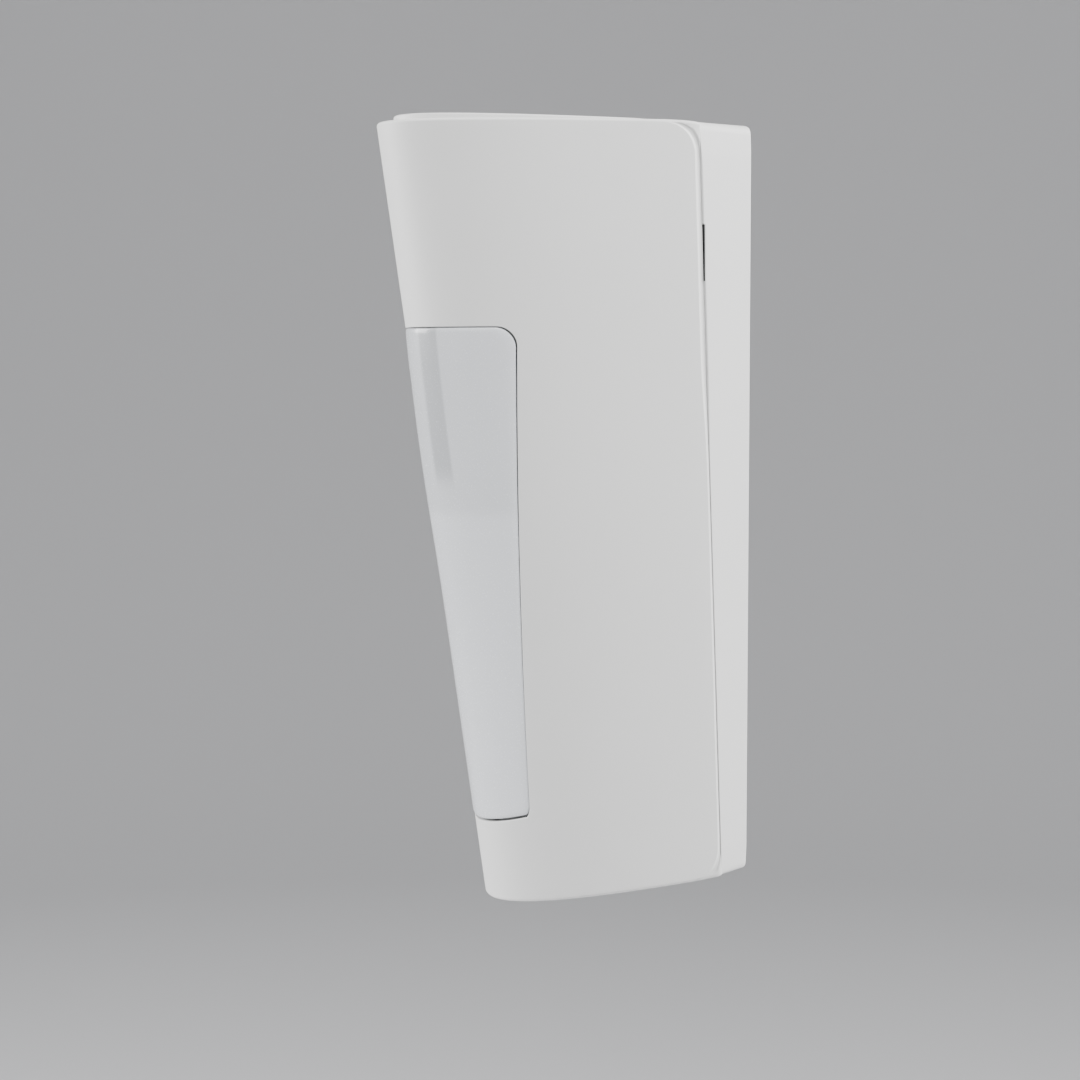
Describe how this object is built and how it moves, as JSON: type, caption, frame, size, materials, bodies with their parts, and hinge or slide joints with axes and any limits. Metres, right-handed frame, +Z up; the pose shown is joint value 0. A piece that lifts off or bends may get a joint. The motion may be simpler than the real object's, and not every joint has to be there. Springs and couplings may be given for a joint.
{
  "type": "outdoor motion detector",
  "caption": "Outdoor wall-mounted infrared motion detector: slanted prow-shaped housing with a tall frosted window, hinged cover, wall base and panning sensor head.",
  "frame": {"origin": "centre of the flat back that rests on the wall", "axes": "+Z up along the wall, +Y into the wall, the nose points to -Y"},
  "size_m": [0.076, 0.0852, 0.2015],
  "materials": {
    "housing": "fine matte moulded",
    "window": "glossy frosted polythene",
    "lens": "ribbed translucent polythene",
    "inner_plastic": "satin moulded",
    "rubber": "matte",
    "screw_steel": "plated",
    "circuit_board": "solder mask",
    "terminal_plastic": "moulded",
    "black_plastic": "moulded",
    "plunger_plastic": "moulded",
    "dip_plastic": "moulded",
    "capacitor_can": "sleeved can",
    "sensor_can": "plated can",
    "led_lens": "clear tinted"
  },
  "bodies": {
    "base": {"back_base": "housing", "rain_seal": "rubber", "wiring_grommet": "rubber", "chassis": "inner_plastic", "chassis_screw_1": "screw_steel", "chassis_screw_2": "screw_steel", "chassis_screw_3": "screw_steel", "chassis_screw_4": "screw_steel", "main_board": "circuit_board", "board_screw_1": "screw_steel", "board_screw_2": "screw_steel", "terminal_block": "terminal_plastic", "terminal_screw_1": "screw_steel", "terminal_screw_2": "screw_steel", "terminal_screw_3": "screw_steel", "terminal_screw_4": "screw_steel", "terminal_screw_5": "screw_steel", "terminal_screw_6": "screw_steel", "relay": "black_plastic", "processor_chip": "black_plastic", "capacitor": "capacitor_can", "lead_connector": "inner_plastic", "dip_switch_body": "dip_plastic", "tamper_switch_body": "black_plastic"},
    "cover": {"front_cover": "housing", "window": "window", "window_retainer": "inner_plastic", "top_cap": "housing"},
    "lock_screw": {"lock_screw": "screw_steel", "lock_screw_ring": "rubber"},
    "sensor_head": {"head_frame": "inner_plastic", "upper_lens": "lens", "lower_lens": "lens"},
    "sensor_carriage": {"sensor_board": "circuit_board", "upper_pyro_sensor": "sensor_can", "lower_pyro_sensor": "sensor_can", "status_led": "led_lens", "range_tab": "plunger_plastic"},
    "tamper_plunger": {"tamper_plunger": "plunger_plastic"},
    "dip_slider_1": {"dip_slider_1": "inner_plastic"},
    "dip_slider_2": {"dip_slider_2": "inner_plastic"},
    "dip_slider_3": {"dip_slider_3": "inner_plastic"},
    "dip_slider_4": {"dip_slider_4": "inner_plastic"}
  },
  "joints": [
    {"name": "cover_swing", "type": "hinge", "parent": "base", "child": "cover", "pos_m": [0, -0.01489, 0.0995], "axis": [-1, 0, 0], "range_deg": [0, 50]},
    {"name": "lock_screw_travel", "type": "slide", "parent": "cover", "child": "lock_screw", "axis": [0, 0, -1], "range_m": [0, 0.004]},
    {"name": "head_pan", "type": "hinge", "parent": "base", "child": "sensor_head", "pos_m": [0, -0.0436, -0.0154], "axis": [0, -0.1503, 0.9886], "range_deg": [-45, 45]},
    {"name": "range_slide", "type": "slide", "parent": "sensor_head", "child": "sensor_carriage", "axis": [0, -0.1503, 0.9886], "range_m": [-0.004, 0.004]},
    {"name": "tamper_travel", "type": "slide", "parent": "base", "child": "tamper_plunger", "axis": [0, 0, 1], "range_m": [0, 0.0015]},
    {"name": "dip_travel_1", "type": "slide", "parent": "base", "child": "dip_slider_1", "axis": [0, 0, 1], "range_m": [0, 0.0012]},
    {"name": "dip_travel_2", "type": "slide", "parent": "base", "child": "dip_slider_2", "axis": [0, 0, 1], "range_m": [0, 0.0012]},
    {"name": "dip_travel_3", "type": "slide", "parent": "base", "child": "dip_slider_3", "axis": [0, 0, 1], "range_m": [0, 0.0012]},
    {"name": "dip_travel_4", "type": "slide", "parent": "base", "child": "dip_slider_4", "axis": [0, 0, 1], "range_m": [0, 0.0012]}
  ],
  "couplings": [
    {"joint": "tamper_travel", "follows": "cover_swing", "m_per_rad": 0.0017}
  ]
}
